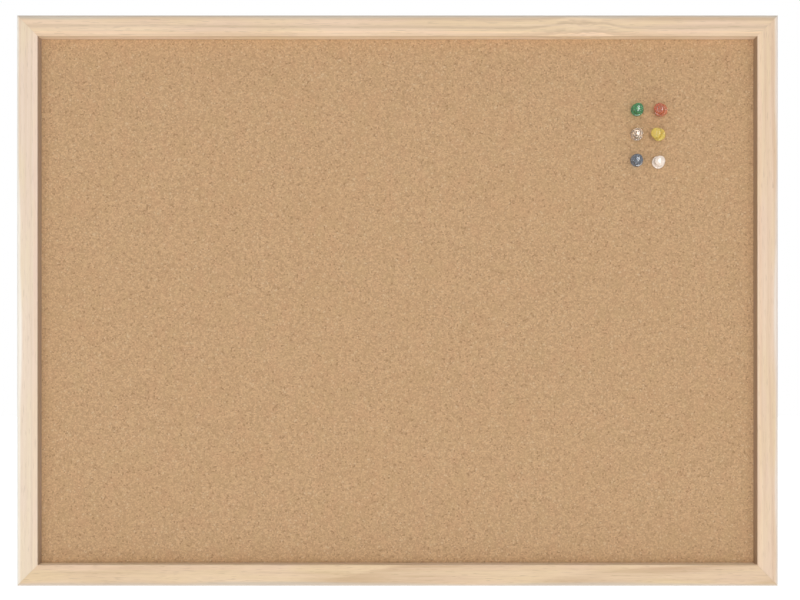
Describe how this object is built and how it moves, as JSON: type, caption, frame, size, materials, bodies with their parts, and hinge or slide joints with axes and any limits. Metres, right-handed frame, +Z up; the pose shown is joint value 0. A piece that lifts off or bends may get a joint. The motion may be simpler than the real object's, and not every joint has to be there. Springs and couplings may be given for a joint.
{
  "type": "cork pin board",
  "caption": "Rectangular cork pin board in a mitred pine frame, with push pins in the cork and sawtooth hangers on the back for hanging it on a wall.",
  "frame": {"origin": "on the back of the top rail, midway between the two hangers, level with the notches that the board hangs by", "axes": "+X to the right as seen from the front, +Y from the cork back towards the wall, +Z up"},
  "size_m": [0.6, 0.0327, 0.45],
  "materials": {
    "pine": "planed pine, clear matt lacquer",
    "cork": "fine-grained agglomerated cork, sanded",
    "softboard": "raw soft fibreboard",
    "hardboard": "hard-pressed fibreboard, smooth side out",
    "fixing_steel": "bright mild steel strip",
    "hanger_steel": "zinc-plated pressed steel",
    "nail_steel": "bright wire",
    "needle_steel": "polished, nickel-plated",
    "green_plastic": "translucent, moulded",
    "red_plastic": "translucent, moulded",
    "clear_plastic": "clear, moulded",
    "yellow_plastic": "translucent, moulded",
    "blue_plastic": "translucent, moulded",
    "white_plastic": "opaque, moulded"
  },
  "bodies": {
    "board": {"top_rail": "pine", "bottom_rail": "pine", "left_stile": "pine", "right_stile": "pine", "cork_sheet": "cork", "softboard_core": "softboard", "hardboard_back": "hardboard", "bottom_left_corner_nail": "fixing_steel", "bottom_right_corner_nail": "fixing_steel", "top_right_corner_nail": "fixing_steel", "top_left_corner_nail": "fixing_steel", "bottom_rail_point_1": "fixing_steel", "bottom_rail_point_2": "fixing_steel", "bottom_rail_point_3": "fixing_steel", "bottom_rail_point_4": "fixing_steel", "right_stile_point_1": "fixing_steel", "right_stile_point_2": "fixing_steel", "right_stile_point_3": "fixing_steel", "top_rail_point_1": "fixing_steel", "top_rail_point_2": "fixing_steel", "top_rail_point_3": "fixing_steel", "top_rail_point_4": "fixing_steel", "left_stile_point_1": "fixing_steel", "left_stile_point_2": "fixing_steel", "left_stile_point_3": "fixing_steel", "left_hanger": "hanger_steel", "right_hanger": "hanger_steel", "left_hanger_nail_1": "nail_steel", "left_hanger_nail_2": "nail_steel", "right_hanger_nail_1": "nail_steel", "right_hanger_nail_2": "nail_steel"},
    "green_pin": {"green_pin_head": "green_plastic", "green_pin_needle": "needle_steel"},
    "red_pin": {"red_pin_head": "red_plastic", "red_pin_needle": "needle_steel"},
    "clear_pin": {"clear_pin_head": "clear_plastic", "clear_pin_needle": "needle_steel"},
    "yellow_pin": {"yellow_pin_head": "yellow_plastic", "yellow_pin_needle": "needle_steel"},
    "blue_pin": {"blue_pin_head": "blue_plastic", "blue_pin_needle": "needle_steel"},
    "white_pin": {"white_pin_head": "white_plastic", "white_pin_needle": "needle_steel"}
  },
  "joints": [
    {"name": "green_pin_pull", "type": "slide", "parent": "board", "child": "green_pin", "axis": [-0.1392, -0.9865, -0.0863], "range_m": [0, 0.014]},
    {"name": "red_pin_pull", "type": "slide", "parent": "board", "child": "red_pin", "axis": [-0.342, -0.9384, -0.0492], "range_m": [0, 0.014]},
    {"name": "clear_pin_pull", "type": "slide", "parent": "board", "child": "clear_pin", "axis": [-0.1392, -0.9865, -0.0863], "range_m": [0, 0.014]},
    {"name": "yellow_pin_pull", "type": "slide", "parent": "board", "child": "yellow_pin", "axis": [-0.4384, -0.8976, -0.047], "range_m": [0, 0.014]},
    {"name": "blue_pin_pull", "type": "slide", "parent": "board", "child": "blue_pin", "axis": [-0.1564, -0.9853, -0.0689], "range_m": [0, 0.014]},
    {"name": "white_pin_pull", "type": "slide", "parent": "board", "child": "white_pin", "axis": [-0.1045, -0.9932, -0.052], "range_m": [0, 0.014]}
  ]
}
